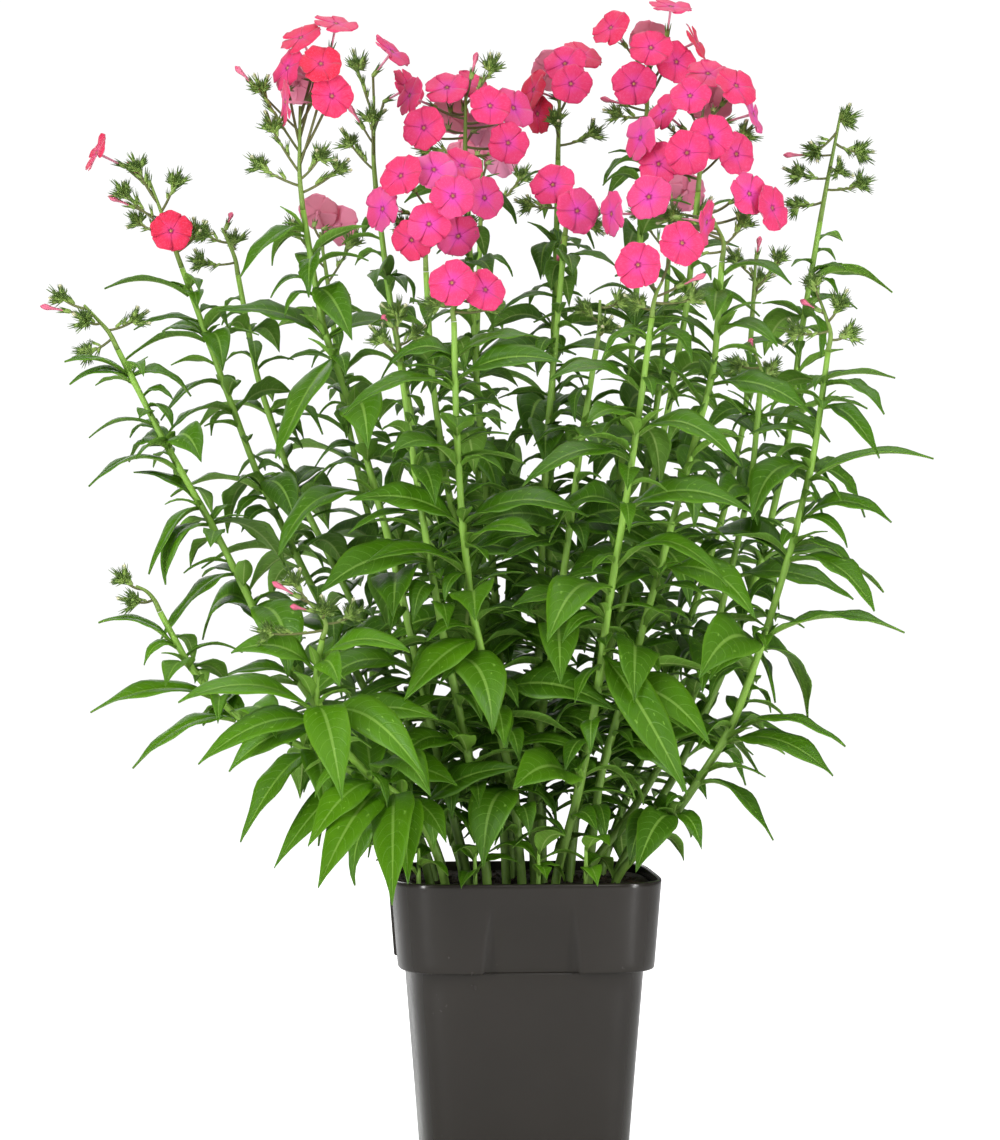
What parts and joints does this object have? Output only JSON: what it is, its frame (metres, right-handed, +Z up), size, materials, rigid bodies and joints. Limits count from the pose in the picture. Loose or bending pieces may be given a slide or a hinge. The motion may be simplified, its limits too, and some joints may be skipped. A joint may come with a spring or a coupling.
{
  "type": "potted phlox plant",
  "caption": "Garden phlox in full growth with pink flower heads, green buds and narrow leaves on upright stems, in a tapered dark plastic pot.",
  "frame": {"origin": "centre of the flat base the pot stands on", "axes": "+Z up, -Y towards the front of the plant, +X to its right as seen from the front"},
  "size_m": [0.5714, 0.426, 0.7887],
  "materials": {
    "pot_plastic": "glossy dark taupe plastic",
    "potting_soil": "loose dark brown peat",
    "leaf_green": "satin leaf with paler veins",
    "petal_pink": "soft satin petals, coral to lilac pink",
    "calyx_green": "matt green buds with dark tips"
  },
  "bodies": {
    "root": {"pot": "pot_plastic", "soil": "potting_soil", "leafy_stem_front_centre": "leaf_green", "leafy_stem_front_right": "leaf_green", "leafy_stem_right": "leaf_green", "leafy_stem_far_right": "leaf_green", "leafy_stem_inner_right": "leaf_green", "leafy_stem_leftmost": "leaf_green", "leafy_stem_second_left": "leaf_green", "leafy_stem_third_left": "leaf_green", "leafy_stem_fourth_left": "leaf_green", "leafy_stem_fifth_left": "leaf_green", "leafy_stem_centre_left": "leaf_green", "leafy_stem_centre_back": "leaf_green", "leafy_stem_centre_mid": "leaf_green", "leafy_stem_centre_far": "leaf_green", "leafy_stem_right_far": "leaf_green", "leafy_stem_right_mid": "leaf_green", "leafy_stem_right_front": "leaf_green", "leafy_stem_centre_bud": "leaf_green", "leafy_stem_left_bud": "leaf_green", "leafy_stem_low_left": "leaf_green", "leafy_stem_low_front": "leaf_green", "leafy_stem_back_left": "leaf_green", "leafy_stem_back_centre": "leaf_green", "leafy_stem_back_right": "leaf_green", "leafy_stem_back_far_right": "leaf_green", "head_front_centre": "petal_pink", "head_front_right": "petal_pink", "head_right": "calyx_green", "head_far_right": "calyx_green", "head_inner_right": "calyx_green", "head_leftmost": "calyx_green", "head_second_left": "petal_pink", "head_third_left": "calyx_green", "head_fourth_left": "petal_pink", "head_fifth_left": "petal_pink", "head_centre_left": "petal_pink", "head_centre_back": "petal_pink", "head_centre_mid": "petal_pink", "head_centre_far": "petal_pink", "head_right_far": "petal_pink", "head_right_mid": "petal_pink", "head_right_front": "petal_pink", "head_centre_bud": "calyx_green", "head_left_bud": "calyx_green", "head_low_left": "calyx_green", "head_low_front": "calyx_green", "head_back_left": "petal_pink", "head_back_centre": "petal_pink", "head_back_right": "petal_pink", "head_back_far_right": "calyx_green", "young_shoot_front_left": "leaf_green", "young_shoot_front_middle": "leaf_green", "young_shoot_front_right": "leaf_green", "young_shoot_left": "leaf_green", "young_shoot_back": "leaf_green"}
  },
  "joints": []
}
